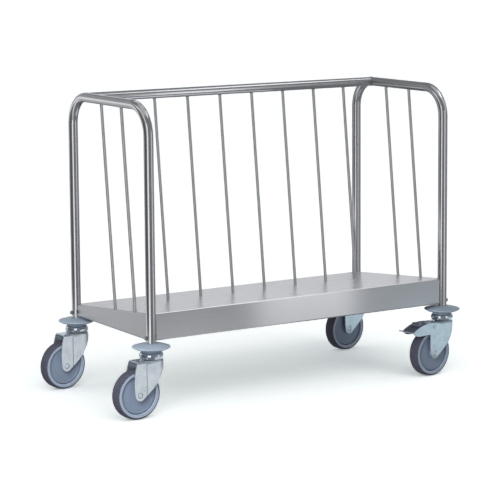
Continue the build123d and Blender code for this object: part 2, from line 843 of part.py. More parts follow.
# Each corner gets its own bumper, swivel head, fork and wheel, and the right end its brakes
for corner, point in post_points.items():
    fixed_place = Location(point)
    turned_place = Location(point, (0, 0, swivel_turns[corner]))
    save(bumper.part.moved(fixed_place), f"{corner}_bumper")
    save(swivel_head.part.moved(fixed_place), f"{corner}_swivel_head")
    fork = braked_fork if corner in braked_corners else plain_fork
    save(fork.moved(turned_place), f"{corner}_fork")
    save(axle_set.moved(turned_place), f"{corner}_axle")
    save(rim.part.moved(turned_place), f"{corner}_rim")
    save(tyre.part.moved(turned_place), f"{corner}_tyre")
    save(bearings.part.moved(turned_place), f"{corner}_bearings")
    save(thread_guards.part.moved(turned_place), f"{corner}_thread_guards")
    if corner in braked_corners:
        save(brake_pedal.part.moved(turned_place), f"{corner}_brake_pedal")
        save(brake_shoe.part.moved(turned_place), f"{corner}_brake_shoe")
        save(pedal_pin.part.moved(turned_place), f"{corner}_pedal_pin")
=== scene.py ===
# %% [markdown]
# # Plate transport trolley
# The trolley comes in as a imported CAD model: tubes, bars, a folded deck and four swivel casters, each
# piece already at its real place and size. This lesson gives every piece the finish of its real
# material, adds the small shapes that a workshop leaves on such a trolley, and sets up the studio.

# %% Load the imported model
import json
from math import atan2, cos, pi, radians, sin, sqrt

import bmesh
import bpy
from mathutils import Euler, Matrix, Vector


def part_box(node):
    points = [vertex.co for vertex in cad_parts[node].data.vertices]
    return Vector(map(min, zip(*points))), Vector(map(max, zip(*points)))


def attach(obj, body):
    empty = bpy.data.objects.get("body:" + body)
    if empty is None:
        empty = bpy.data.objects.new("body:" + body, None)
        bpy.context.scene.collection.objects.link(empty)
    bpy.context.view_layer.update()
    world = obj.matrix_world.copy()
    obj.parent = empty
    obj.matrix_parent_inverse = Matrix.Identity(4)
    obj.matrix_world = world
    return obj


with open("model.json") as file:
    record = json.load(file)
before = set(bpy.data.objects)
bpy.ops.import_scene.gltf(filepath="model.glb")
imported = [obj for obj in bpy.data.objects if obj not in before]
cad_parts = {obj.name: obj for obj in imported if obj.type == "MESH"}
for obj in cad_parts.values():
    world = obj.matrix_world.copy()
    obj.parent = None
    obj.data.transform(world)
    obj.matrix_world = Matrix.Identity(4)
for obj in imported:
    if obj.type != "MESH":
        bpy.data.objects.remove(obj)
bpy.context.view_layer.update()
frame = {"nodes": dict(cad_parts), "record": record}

MM = 0.001

# %% [markdown]
# ## Camera
# The picture is taken from the left of the front, a little above the top rail, with a long lens: the
# posts stay almost parallel. A camera can be placed by eye, but here its angle, distance and focal
# length come from lining up the posts, the rail, the deck's edges and the wheels with the photograph,
# so they are written as an azimuth, an elevation and a distance from one target point.

# %% Camera
AIM = Vector((-33.31, 0, 514.45)) * MM
CAMERA_AZIMUTH = radians(-31.80)
CAMERA_ELEVATION = radians(7.50)
CAMERA_ROLL = radians(-0.40)
CAMERA_DISTANCE = 5379.66 * MM
towards_camera = Vector((
    sin(CAMERA_AZIMUTH) * cos(CAMERA_ELEVATION),
    -cos(CAMERA_AZIMUTH) * cos(CAMERA_ELEVATION),
    sin(CAMERA_ELEVATION),
))
camera_data = bpy.data.cameras.new("camera")
camera_data.sensor_width = 36.0
camera_data.lens = 146.36
camera_data.shift_y = -0.12
camera_data.clip_end = 100.0
camera = bpy.data.objects.new("camera", camera_data)
bpy.context.scene.collection.objects.link(camera)
stand = Matrix.Translation(AIM + towards_camera * CAMERA_DISTANCE)
turn = Euler((pi / 2 - CAMERA_ELEVATION, 0, CAMERA_AZIMUTH)).to_matrix().to_4x4()
camera.matrix_world = stand @ turn @ Matrix.Rotation(CAMERA_ROLL, 4, "Z")
bpy.context.scene.camera = camera
print("camera at", [round(v, 3) for v in camera.matrix_world.translation])

# %% [markdown]
# ## Colours and nodes
# Colours are picked as sRGB hex values, the way a paint program shows them, while Blender's shaders
# reckon in linear light, so one function turns the first into the second. A second small function adds
# a shader node, sets its properties and fills or links its sockets. With these two, a material reads
# like a list of what it is made of. A third turns a real size into a texture's scale.

# %% Colour and node helpers
def linear(code):
    """Linear RGBA for an sRGB hex value."""
    channels = [int(code[i:i + 2], 16) / 255 for i in (1, 3, 5)]
    return [c / 12.92 if c <= 0.04045 else ((c + 0.055) / 1.055) ** 2.4 for c in channels] + [1.0]


def add_node(tree, kind, inputs=None, **settings):
    """Adds a node with its settings; an input is a value, or the socket that it is linked to."""
    node = tree.nodes.new(kind)
    for name, value in settings.items():
        setattr(node, name, value)
    for name, value in (inputs or {}).items():
        if isinstance(value, bpy.types.NodeSocket):
            tree.links.new(value, node.inputs[name])
        else:
            node.inputs[name].default_value = value
    return node


def per_metre(size_mm):
    """Texture scale that repeats a pattern about once in a real size."""
    return 1 / (size_mm * MM)


print("mid grey #808080 is", round(linear("#808080")[0], 3), "in linear light")

# %% [markdown]
# ## Studio walls
# The photograph is a catalogue shot on white. Polished steel has no colour of its own and shows what
# stands round it, so the surroundings matter as much as the steel. They could be modelled as a room, but
# the steel only needs the room's tones, so the world holds them: a colour ramp round the horizon for the
# walls, darkest at the left, where it gives the tubes their dark bands, and palest behind on the right,
# where it fills the deck's top. The ground, the dim upper walls and a brighter ceiling lie over it by
# height.

# %% Tones round the room
WALLS = [  # degrees round from the front, positive to the right, and brightness there
    (-180, 0.40), (-160, 0.27), (-148, 0.27), (-130, 0.17), (-100, 0.10), (-75, 0.18),
    (-30, 0.22), (5, 0.22), (23, 0.30), (29, 0.46), (36, 0.46), (44, 0.28),
    (75, 0.28), (100, 0.34), (118, 0.64), (150, 0.76), (165, 0.70), (180, 0.40),
]
LEVELS = [  # sine of the elevation where a tone starts and where it is full, and its brightness
    (-0.22, -0.50, 0.22),  # ground
    (0.28, 0.46, 0.24),  # upper walls
    (0.84, 0.93, 0.62),  # ceiling
]
WALL_BLUE, LEVEL_BLUE = 1.02, 0.01  # a trace of blue in each tone
world = bpy.data.worlds.new("studio")
bpy.context.scene.world = world
world.use_nodes = True
tree = world.node_tree
tree.nodes.clear()
way = add_node(tree, "ShaderNodeSeparateXYZ", {
    "Vector": add_node(tree, "ShaderNodeTexCoord").outputs["Generated"],
})
front = add_node(tree, "ShaderNodeMath", {0: way.outputs["Y"], 1: -1.0}, operation="MULTIPLY")
azimuth = add_node(tree, "ShaderNodeMath", {
    0: way.outputs["X"], 1: front.outputs[0],
}, operation="ARCTAN2")
round_room = add_node(tree, "ShaderNodeMapRange", {
    "Value": azimuth.outputs[0], "From Min": -pi, "From Max": pi,
})
walls = add_node(tree, "ShaderNodeValToRGB", {"Fac": round_room.outputs["Result"]})
ramp = walls.color_ramp
while len(ramp.elements) < len(WALLS):
    ramp.elements.new(0.5)
for element, (degrees_round, brightness) in zip(ramp.elements, WALLS):
    element.position = degrees_round / 360 + 0.5
    element.color = (brightness, brightness, brightness * WALL_BLUE, 1)
tone = walls.outputs["Color"]
for start, full, brightness in LEVELS:
    share = add_node(tree, "ShaderNodeMapRange", {
        "Value": way.outputs["Z"], "From Min": start, "From Max": full,
    }, interpolation_type="SMOOTHSTEP")
    tone = add_node(tree, "ShaderNodeMix", {
        "Factor": share.outputs["Result"], "A": tone,
        "B": (brightness, brightness + LEVEL_BLUE / 2, brightness + LEVEL_BLUE, 1),
    }, data_type="RGBA").outputs["Result"]
print("room:", len(WALLS), "tones round it and", len(LEVELS), "by height")

# %% [markdown]
# ## White paper and fill
# Only mirrors see the dark room. The camera sees white paper behind the trolley, and matt surfaces get an
# even, faintly cool fill. A second set of walls could do that, but the world's shader can tell the
# kinds of ray apart, so it mixes the three.

# %% What each kind of ray sees
PAPER_BRIGHTNESS = 1.05
FILL_BRIGHTNESS = 0.24
room = add_node(tree, "ShaderNodeBackground", {"Color": tone, "Strength": 1.0})
paper = add_node(tree, "ShaderNodeBackground", {"Color": (1, 1, 1, 1), "Strength": PAPER_BRIGHTNESS})
fill = add_node(tree, "ShaderNodeBackground", {"Color": (0.97, 0.99, 1, 1), "Strength": FILL_BRIGHTNESS})
ray = add_node(tree, "ShaderNodeLightPath")
lit = add_node(tree, "ShaderNodeMixShader", {
    0: ray.outputs["Is Diffuse Ray"], 1: room.outputs["Background"], 2: fill.outputs["Background"],
})
seen = add_node(tree, "ShaderNodeMixShader", {
    0: ray.outputs["Is Camera Ray"], 1: lit.outputs["Shader"], 2: paper.outputs["Background"],
})
add_node(tree, "ShaderNodeOutputWorld", {"Surface": seen.outputs["Shader"]})
bpy.context.scene.view_settings.view_transform = "Standard"
print("world:", len(tree.nodes), "nodes")

# %% [markdown]
# ## Floor
# The floor is matt white and runs into the white behind it. A curved backdrop does that in a real
# studio, and a very large plane does it here. The picture is exposed until the open floor is pure white,
# and a trace of cool haze lifts the shadow. That lighter floor is for the camera alone: the trolley
# gets the light of a plain white one, and the steel mirrors the ground tone of the room instead.

# %% Matt white floor
FLOOR_SIZE = 80.0
FLOOR_EXPOSURE = 1.45
HAZE_TINT, HAZE_BRIGHTNESS = (0.88, 1, 1, 1), 0.25
bpy.ops.object.select_all(action="DESELECT")
bpy.ops.mesh.primitive_plane_add(size=FLOOR_SIZE, location=(0, 0, 0))
floor = bpy.context.object
floor.name = "floor"
floor.visible_glossy = False
floor_paint = bpy.data.materials.new("matt_white_floor")
floor_paint.use_nodes = True
tree = floor_paint.node_tree
tree.nodes.clear()
matt = add_node(tree, "ShaderNodeBsdfDiffuse", {"Color": linear("#ffffff")})
exposed = add_node(tree, "ShaderNodeBsdfDiffuse", {"Color": [FLOOR_EXPOSURE] * 3 + [1.0]})
haze = add_node(tree, "ShaderNodeEmission", {"Color": HAZE_TINT, "Strength": HAZE_BRIGHTNESS})
hazy = add_node(tree, "ShaderNodeAddShader", {0: exposed.outputs["BSDF"], 1: haze.outputs["Emission"]})
pictured = add_node(tree, "ShaderNodeMixShader", {
    0: add_node(tree, "ShaderNodeLightPath").outputs["Is Camera Ray"],
    1: matt.outputs["BSDF"], 2: hazy.outputs["Shader"],
})
add_node(tree, "ShaderNodeOutputMaterial", {"Surface": pictured.outputs["Shader"]})
floor.data.materials.append(floor_paint)
print("floor:", FLOOR_SIZE, "m each way")

# %% [markdown]
# ## Soft boxes
# Soft boxes are the bright things that the steel mirrors. They could be glowing planes, but an area light
# is mirrored too, and it lights the matt plastic as well. Its power is worked out from a brightness and
# its area, so a box can grow without looking brighter. A tall box at the left gives the sharp bright line
# on every post, a narrow one at the right brightens the middle of the deck's front apron, and one overhead
# lights the top tubes. Three boards stand one above the other behind the left end, and all that faces
# left mirrors them: they are there for reflections alone, so matt surfaces don't see them.

# %% Soft boxes for the whole trolley
def soft_box(name, place, aim, size, brightness, reaches=None, **rays):
    """Area light of an even brightness that the camera doesn't see, for all pieces or for one group."""
    width, height = size
    data = bpy.data.lights.new(name, "AREA")
    data.shape = "RECTANGLE"
    data.size = width
    data.size_y = height
    data.energy = brightness * pi * width * height
    box = bpy.data.objects.new(name, data)
    box.location = place
    box.rotation_euler = (Vector(aim) - Vector(place)).to_track_quat("-Z", "Y").to_euler()
    box.visible_camera = False
    for kind, visible in rays.items():
        setattr(box, kind, visible)
    bpy.context.scene.collection.objects.link(box)
    box.light_linking.receiver_collection = reaches
    return box


soft_box("left_box", (-1.75, -1.36, 0.85), (-0.40, -0.20, 0.85), (0.95, 2.10), 1.15)
soft_box("right_box", (0.68, -1.24, 0.45), (0.15, -0.20, 0.45), (0.32, 1.10), 0.86)
soft_box("top_box", (1.76, -0.80, 3.50), (0.0, 0.125, 0.77), (2.00, 0.90), 1.35)
soft_box("left_low_board", (-1.03, 1.25, 0.055), (-1.03, 0.0, 0.055), (1.17, 0.73), 0.32,
         visible_diffuse=False)
soft_box("left_band", (-1.15, 1.25, 0.67), (-1.15, 0.0, 0.67), (0.70, 0.50), 0.76,
         visible_diffuse=False)
soft_box("left_high_board", (-1.03, 1.25, 1.30), (-1.03, 0.0, 1.30), (1.17, 0.76), 0.14,
         visible_diffuse=False)
print("soft boxes:", len(bpy.data.lights))

# %% [markdown]
# ## Lights for single pieces
# A photographer holds a card beside one piece until its reflection sits right, and keeps it off the
# rest. Light linking does the same: a light that is linked to a group reaches only the pieces in it. Two
# cards on the floor brighten the casters and the deck's aprons from below. Each end frame has a box and a
# card of its own, for its bends and its top tube. The deck has a dim board behind for its top, a wide box
# overhead for the bright line along its front fold, and a board for its left apron.

# %% Cards, boxes and boards with a group of their own
LOW_PIECES = ("deck", "front_left", "front_right", "rear_left", "rear_right")


def light_group(name, members, state="INCLUDE"):
    """Collection of receivers: a light that is linked to it reaches only these, or all but these."""
    group = bpy.data.collections.new(name)
    for member in members:
        group.objects.link(member)
    for link in group.collection_objects:
        link.light_linking.link_state = state
    return group


only_left_frame = light_group("only_left_frame", [frame["nodes"]["left_end_frame"]])
only_right_frame = light_group("only_right_frame", [frame["nodes"]["right_end_frame"]])
only_low = light_group("only_low", [
    node for name, node in frame["nodes"].items() if name.startswith(LOW_PIECES)
])
only_deck = light_group("only_deck", [frame["nodes"]["deck"]])

soft_box("left_card", (-0.15, -0.45, 0.0), (-0.15, -0.45, 1.0), (0.54, 1.00), 0.48,
         only_low, visible_diffuse=False)
right_card = soft_box("right_card", (0.96, -0.45, 0.0), (0.96, -0.45, 1.0), (0.68, 1.00), 0.58,
                      only_low, visible_diffuse=False)
right_card.data.color = (0.66, 0.91, 1.0)
soft_box("bend_box", (0.20, 0.75, 2.00), (-0.45, -0.12, 0.76), (1.40, 0.30), 1.15, only_left_frame)
soft_box("bend_card", (-1.18, 0.20, 0.0), (-1.18, 0.20, 1.0), (0.36, 2.40), 0.80,
         only_left_frame, visible_diffuse=False)
soft_box("right_arch", (1.36, -0.90, 1.70), (0.45, -0.19, 0.74), (1.05, 1.90), 0.50, only_right_frame)
soft_box("rear_card", (-0.25, 0.35, 0.275), (-0.25, 0.35, 1.0), (0.50, 1.50), 0.45,
         only_right_frame, visible_diffuse=False)
soft_box("deck_board", (1.30, 2.10, 0.95), (0.0, 0.0, 0.24), (2.60, 1.50), 0.14, only_deck)
soft_box("fold_box", (0.87, -0.20, 1.30), (0.87, -0.20, 0.0), (1.50, 2.90), 0.92, only_deck)
soft_box("apron_board", (-1.00, 1.15, 0.15), (-1.00, 0.0, 0.15), (1.20, 0.80), 0.15,
         only_deck, visible_diffuse=False)

# %% [markdown]
# ## Key lights
# The keys shape the matt plastic and rubber. In a mirror such a strong light would be a glaring patch, and
# on the white floor it would cast a shadow of its own, so the keys are hidden from reflections and don't
# reach the floor. Turning up the soft boxes would be simpler, but it would burn out the steel. A small
# fill of the same kind lifts the rear right wheel, which stands in the deck's shade.

# %% Keys and wheel fill
not_floor = light_group("not_floor", [floor], "EXCLUDE")
only_rear_right_wheel = light_group("only_rear_right_wheel", [
    frame["nodes"][f"rear_right_{piece}"] for piece in ("tyre", "rim", "thread_guards")
])
soft_box("left_key", (-1.55, -1.10, 1.10), (-0.40, -0.20, 0.10), (0.90, 0.90), 14.0,
         not_floor, visible_glossy=False)
soft_box("rear_key", (1.20, 1.90, 1.20), (0.0, 0.20, 0.10), (0.90, 0.90), 9.0,
         not_floor, visible_glossy=False)
soft_box("wheel_fill", (1.10, -1.00, 0.35), (0.45, 0.20, 0.07), (0.50, 0.50), 2.2,
         only_rear_right_wheel, visible_glossy=False)
print("lights so far:", len(bpy.data.lights))

# %% [markdown]
# ## Light on the floor
# The shadow under the trolley is wide and soft, with no clear edge. One sun could cast it, but from a
# single side it falls too dark and too far to the other. So three suns share the work, each 70 degrees
# wide and linked to the floor alone: most light comes from the front, some from the left, and some from
# behind the left end.

# %% Floor suns
SUN_WIDTH = radians(70)
FLOOR_SUNS = [  # name, strength, and the way that the light goes
    ("front_sun", 1.24, (0.3, 1.6, -1.0)),
    ("left_sun", 0.27, (1.7, 0.3, -1.0)),
    ("rear_sun", 0.29, (0.9, -0.9, -1.0)),
]
only_floor = light_group("only_floor", [floor])
for name, strength, heading in FLOOR_SUNS:
    sun_data = bpy.data.lights.new(name, "SUN")
    sun_data.energy = strength
    sun_data.angle = SUN_WIDTH
    sun = bpy.data.objects.new(name, sun_data)
    sun.rotation_euler = Vector(heading).to_track_quat("-Z", "Y").to_euler()
    sun.visible_glossy = False
    sun.light_linking.receiver_collection = only_floor
    bpy.context.scene.collection.objects.link(sun)
print("lights in all:", len(bpy.data.lights))

# %% [markdown]
# ## Arch and shaded floor
# Two more things show in reflections alone. At the left, a glowing arch stands round the height of the top
# tubes, so that the bright line on the left end frame goes on round its bends. A straight box would leave
# a gap there. The arch is a flat ring, extruded outwards from a circle and cut off below. On the floor
# behind the deck lies a small dim plane: the real floor is hidden from mirrors, so this one shows the
# casters how dark the floor is in the trolley's shade.

# %% Arch
ARCH_PLACE = (-1.55, 0.0, 0.74)
ARCH_INNER, ARCH_OUTER, ARCH_BRIGHTNESS = 0.95, 1.50, 1.10
ARCH_CUT, ARCH_CUT_UPWARDS = (-1.55, 0.0, 1.00), (0, -0.5, 1)


def even_light(name, brightness):
    """A white surface that shines evenly, so that the steel mirrors one plain tone."""
    material = bpy.data.materials.new(name)
    material.use_nodes = True
    tree = material.node_tree
    tree.nodes.clear()
    shine = add_node(tree, "ShaderNodeEmission", {"Color": (1, 1, 1, 1), "Strength": brightness})
    add_node(tree, "ShaderNodeOutputMaterial", {"Surface": shine.outputs["Emission"]})
    return material


def only_mirrored(surface):
    """Keeps a surface for reflections alone: no camera, matt surface or shadow sees it."""
    surface.visible_camera = False
    surface.visible_diffuse = False
    surface.visible_shadow = False


bpy.ops.object.select_all(action="DESELECT")
bpy.ops.mesh.primitive_circle_add(
    vertices=48, radius=ARCH_INNER, location=ARCH_PLACE, rotation=(0, pi / 2, 0))
arch = bpy.context.object
arch.name = "left_arch"
bpy.ops.object.mode_set(mode="EDIT")
bpy.ops.mesh.select_all(action="SELECT")
bpy.ops.mesh.extrude_region_move()
bpy.ops.transform.resize(value=[ARCH_OUTER / ARCH_INNER] * 3, center_override=arch.location)
bpy.ops.mesh.select_all(action="SELECT")
bpy.ops.mesh.bisect(plane_co=ARCH_CUT, plane_no=ARCH_CUT_UPWARDS, clear_inner=True)
bpy.ops.object.mode_set(mode="OBJECT")
arch.data.materials.append(even_light("even_white_light", ARCH_BRIGHTNESS))
only_mirrored(arch)
print("arch:", len(arch.data.polygons), "faces")

# %% Shaded floor
SHADE_PLACE, SHADE_SIZE, SHADE_BRIGHTNESS = (0.0, 0.79, 0.001), (0.94, 0.54, 1.0), 0.10
bpy.ops.object.select_all(action="DESELECT")
bpy.ops.mesh.primitive_plane_add(size=1.0, location=SHADE_PLACE)
shaded_floor = bpy.context.object
shaded_floor.name = "floor_in_shade"
bpy.ops.object.mode_set(mode="EDIT")
bpy.ops.mesh.select_all(action="SELECT")
bpy.ops.transform.resize(value=SHADE_SIZE, center_override=shaded_floor.location)
bpy.ops.object.mode_set(mode="OBJECT")
shaded_floor.data.materials.append(even_light("floor_in_shade", SHADE_BRIGHTNESS))
only_mirrored(shaded_floor)
print("shaded floor:", SHADE_SIZE[0], "by", SHADE_SIZE[1], "m")

# %% [markdown]
# ## Stainless steel
# Tubes and bars are polished with a belt until they shine softly: a metal with low roughness, in which
# a fine grit leaves small changes of gloss. A metal could be one flat grey, but then its reflections
# would be too clean, so a fine noise changes the roughness and a large, faint one the tone. Plated and
# ground steel differ from it only in colour, gloss and grit, so one function makes them all.

# %% Polished steel: the tube
def polished_steel(name, bright, dull, roughness, grit_mm, cloud_mm):
    """A polished metal: fine grit in its gloss, and large faint clouds in its tone."""
    material = bpy.data.materials.new(name)
    material.use_nodes = True
    tree = material.node_tree
    tree.nodes.clear()
    place = add_node(tree, "ShaderNodeTexCoord").outputs["Object"]
    grit = add_node(tree, "ShaderNodeTexNoise", {
        "Vector": place, "Scale": per_metre(grit_mm), "Detail": 2.0,
    })
    cloud = add_node(tree, "ShaderNodeTexNoise", {
        "Vector": place, "Scale": per_metre(cloud_mm), "Detail": 3.0,
    })
    tone = add_node(tree, "ShaderNodeMix", {
        "Factor": cloud.outputs["Fac"], "A": linear(dull), "B": linear(bright),
    }, data_type="RGBA")
    gloss = add_node(tree, "ShaderNodeMapRange", {
        "Value": grit.outputs["Fac"], "From Min": 0.3, "From Max": 0.7,
        "To Min": roughness * 0.85, "To Max": roughness * 1.15,
    })
    bump = add_node(tree, "ShaderNodeBump", {
        "Strength": 0.04, "Distance": 0.05 * MM, "Height": grit.outputs["Fac"],
    })
    steel = add_node(tree, "ShaderNodeBsdfPrincipled", {
        "Base Color": tone.outputs["Result"], "Metallic": 1.0, "Roughness": gloss.outputs["Result"],
        "Normal": bump.outputs["Normal"],
    })
    add_node(tree, "ShaderNodeOutputMaterial", {"Surface": steel.outputs["BSDF"]})
    return material


finishes = {}
# Belt-polished tube: sharp bright lines and clear dark bands
finishes["stainless_tube"] = polished_steel(
    "satin_stainless_tube", "#d3d4d7", "#c6c7ca", roughness=0.16, grit_mm=1.2, cloud_mm=70)
print("tube finish:", len(finishes["stainless_tube"].node_tree.nodes), "nodes")

# %% Polished steel: bars, fasteners, pedals, bearings and plating
# Drawn bar: a little duller, its bands run together
finishes["stainless_bar"] = polished_steel(
    "drawn_stainless_bar", "#d8d9db", "#cccdcf", roughness=0.30, grit_mm=1.0, cloud_mm=50)
# Turned or stamped fasteners: plain and slightly matt
finishes["stainless_fastener"] = polished_steel(
    "plain_stainless_fastener", "#b9babc", "#a9abad", roughness=0.30, grit_mm=0.8, cloud_mm=12)
# Zinc pedals: a bluish, half-matt grey, a little darker than the forks' plating as painted shade from the
# deck above
finishes["brake_pedal"] = polished_steel(
    "zinc_pedal_with_painted_shade", "#c4c7d6", "#b4b7c6", roughness=0.42, grit_mm=1.0, cloud_mm=10)
# Ground bearing rings and balls: bright, with a fine even shine
finishes["bearing_steel"] = polished_steel(
    "ground_bearing_steel", "#c2c3c5", "#b4b6b9", roughness=0.18, grit_mm=0.5, cloud_mm=8)
# Bright plating on the swivel heads: close to a mirror
finishes["bright_plated_steel"] = polished_steel(
    "bright_nickel_plating", "#d8e2ee", "#ccd6e2", roughness=0.09, grit_mm=1.5, cloud_mm=25)
print("steel finishes:", ", ".join(finishes))

# %% [markdown]
# ## Brushed sheet
# The deck is folded from brushed sheet. Its grain runs along the trolley on the top and on the long
# aprons, and stands upright on the end aprons, which are the same sheet bent down. The grain could be an
# image, but a noise stretched a hundredfold gives it too. The real lines are about 0.2 mm wide, too fine
# for the picture, so they are drawn at about 0.9 mm. Brushing also draws every reflection out across the
# grain: the shader's anisotropy does that, along a tangent that runs across it. The top is scuffed by
# plates and a little duller.

# %% Brushed sheet: grain and tone
GRAIN_WIDTH = 0.9
GRAIN_LENGTH = 110
SHEET_CLOUD = 160
FACING = 0.7  # a face points along an axis where its normal has at least this share of it
material = bpy.data.materials.new("brushed_stainless_sheet")
material.use_nodes = True
tree = material.node_tree
tree.nodes.clear()
coordinates = add_node(tree, "ShaderNodeTexCoord")
place = coordinates.outputs["Object"]
facing = add_node(tree, "ShaderNodeSeparateXYZ", {"Vector": coordinates.outputs["Normal"]})
endways = add_node(tree, "ShaderNodeMath", {0: facing.outputs["X"]}, operation="ABSOLUTE")
on_ends = add_node(tree, "ShaderNodeMath", {0: endways.outputs[0], 1: FACING}, operation="GREATER_THAN")
fine, long = per_metre(GRAIN_WIDTH), per_metre(GRAIN_LENGTH)
along = add_node(tree, "ShaderNodeMapping", {"Vector": place, "Scale": (long, fine, fine)})
upright = add_node(tree, "ShaderNodeMapping", {"Vector": place, "Scale": (fine, fine, long)})
run = add_node(tree, "ShaderNodeMix", {
    "Factor": on_ends.outputs[0], "A": along.outputs["Vector"], "B": upright.outputs["Vector"],
}, data_type="VECTOR")
grain = add_node(tree, "ShaderNodeTexNoise", {
    "Vector": run.outputs["Result"], "Scale": 1.0, "Detail": 3.0,
})
cloud = add_node(tree, "ShaderNodeTexNoise", {
    "Vector": place, "Scale": per_metre(SHEET_CLOUD), "Detail": 2.0,
})
shade = add_node(tree, "ShaderNodeMix", {
    "Factor": grain.outputs["Fac"], "A": linear("#b9bbbe"), "B": linear("#cccdd0"),
}, data_type="RGBA")
print("brushed sheet: grain", GRAIN_WIDTH, "by", GRAIN_LENGTH, "mm")

# %% Brushed sheet: gloss, wear and anisotropy
# To the eye: an even satin grey with fine lines, and mirror images that smear across them
SHEET_ROUGHNESS, GRAIN_ROUGHNESS, CLOUD_ROUGHNESS, TOP_WEAR = 0.16, 0.08, 0.04, 0.05
BRUSHING = 0.85
rub = add_node(tree, "ShaderNodeMath", {
    0: grain.outputs["Fac"], 1: GRAIN_ROUGHNESS, 2: SHEET_ROUGHNESS,
}, operation="MULTIPLY_ADD")
gloss = add_node(tree, "ShaderNodeMath", {
    0: cloud.outputs["Fac"], 1: CLOUD_ROUGHNESS, 2: rub.outputs[0],
}, operation="MULTIPLY_ADD")
on_top = add_node(tree, "ShaderNodeMath", {0: facing.outputs["Z"], 1: FACING}, operation="GREATER_THAN")
worn = add_node(tree, "ShaderNodeMath", {
    0: on_top.outputs[0], 1: TOP_WEAR, 2: gloss.outputs[0],
}, operation="MULTIPLY_ADD")
bump = add_node(tree, "ShaderNodeBump", {
    "Strength": 0.08, "Distance": 0.05 * MM, "Height": grain.outputs["Fac"],
})
round_x = add_node(tree, "ShaderNodeTangent", direction_type="RADIAL", axis="X")
round_z = add_node(tree, "ShaderNodeTangent", direction_type="RADIAL", axis="Z")
across = add_node(tree, "ShaderNodeMix", {
    "Factor": on_ends.outputs[0], "A": round_x.outputs["Tangent"], "B": round_z.outputs["Tangent"],
}, data_type="VECTOR")
sheet = add_node(tree, "ShaderNodeBsdfPrincipled", {
    "Base Color": shade.outputs["Result"], "Metallic": 1.0, "Roughness": worn.outputs[0],
    "Normal": bump.outputs["Normal"], "Anisotropic": BRUSHING, "Tangent": across.outputs["Result"],
})
add_node(tree, "ShaderNodeOutputMaterial", {"Surface": sheet.outputs["BSDF"]})
finishes["stainless_sheet"] = material
print("brushed sheet:", len(tree.nodes), "nodes")

# %% [markdown]
# ## Zinc plating
# Forks, axles and pins are pressed steel with bright zinc plating. It could be one flat pale grey, but on
# a zinc bath's real surface soft clouds change the tone and the gloss together, so one noise of about
# 20 mm drives both, and a speck of 0.7 mm gives the finest relief.

# %% Zinc-plated steel finish
# To the eye: pale and faintly blue, slightly cloudy, with a soft shine
ZINC_CLOUD = 20
ZINC_SPECK = 0.7
material = bpy.data.materials.new("zinc_plated_steel")
material.use_nodes = True
tree = material.node_tree
tree.nodes.clear()
place = add_node(tree, "ShaderNodeTexCoord").outputs["Object"]
cloud = add_node(tree, "ShaderNodeTexNoise", {
    "Vector": place, "Scale": per_metre(ZINC_CLOUD), "Detail": 1.0,
})
speck = add_node(tree, "ShaderNodeTexNoise", {
    "Vector": place, "Scale": per_metre(ZINC_SPECK), "Detail": 2.0,
})
tone = add_node(tree, "ShaderNodeMix", {
    "Factor": cloud.outputs["Fac"], "A": linear("#bfc9d1"), "B": linear("#d2dae0"),
}, data_type="RGBA")
gloss = add_node(tree, "ShaderNodeMapRange", {
    "Value": cloud.outputs["Fac"], "From Min": 0.3, "From Max": 0.7, "To Min": 0.22, "To Max": 0.15,
})
bump = add_node(tree, "ShaderNodeBump", {
    "Strength": 0.01, "Distance": 0.02 * MM, "Height": speck.outputs["Fac"],
})
plating = add_node(tree, "ShaderNodeBsdfPrincipled", {
    "Base Color": tone.outputs["Result"], "Metallic": 0.85, "Roughness": gloss.outputs["Result"],
    "Normal": bump.outputs["Normal"],
})
add_node(tree, "ShaderNodeOutputMaterial", {"Surface": plating.outputs["BSDF"]})
finishes["zinc_plated_steel"] = material
print("zinc plating: clouds of", ZINC_CLOUD, "mm")

# %% [markdown]
# ## Plastic and rubber
# Bumper discs, rims and thread guards are moulded in grey-blue plastic with a fine spark-eroded grain,
# the tyres in grey rubber that marks no floors. All are plain dielectrics. Each could have a node tree of
# its own, but what sets them apart is colour, gloss and the grain of the mould, so one function takes
# these as its values.

# %% Moulded plastic: the bumper discs
MOULD_CLOUD = 18


def moulded(name, light, dark, roughness, grain_mm, grain_depth, index):
    """A moulded dielectric: the mould's fine grain in its relief, faint clouds in its tone and gloss."""
    material = bpy.data.materials.new(name)
    material.use_nodes = True
    tree = material.node_tree
    tree.nodes.clear()
    place = add_node(tree, "ShaderNodeTexCoord").outputs["Object"]
    grain = add_node(tree, "ShaderNodeTexNoise", {
        "Vector": place, "Scale": per_metre(grain_mm), "Detail": 2.0,
    })
    cloud = add_node(tree, "ShaderNodeTexNoise", {
        "Vector": place, "Scale": per_metre(MOULD_CLOUD), "Detail": 3.0,
    })
    tone = add_node(tree, "ShaderNodeMix", {
        "Factor": cloud.outputs["Fac"], "A": linear(dark), "B": linear(light),
    }, data_type="RGBA")
    gloss = add_node(tree, "ShaderNodeMapRange", {
        "Value": cloud.outputs["Fac"], "From Min": 0.3, "From Max": 0.7,
        "To Min": roughness * 1.1, "To Max": roughness * 0.9,
    })
    bump = add_node(tree, "ShaderNodeBump", {
        "Strength": 0.15, "Distance": grain_depth * MM, "Height": grain.outputs["Fac"],
    })
    body = add_node(tree, "ShaderNodeBsdfPrincipled", {
        "Base Color": tone.outputs["Result"], "Roughness": gloss.outputs["Result"], "IOR": index,
        "Normal": bump.outputs["Normal"],
    })
    add_node(tree, "ShaderNodeOutputMaterial", {"Surface": body.outputs["BSDF"]})
    return material


# Polyamide disc: pale grey-blue, a soft sheen
finishes["bumper_plastic"] = moulded(
    "grey_blue_polyamide_bumper", "#9ba9b8", "#8f9dac",
    roughness=0.38, grain_mm=0.5, grain_depth=0.05, index=1.53)
print("bumper finish:", len(finishes["bumper_plastic"].node_tree.nodes), "nodes")

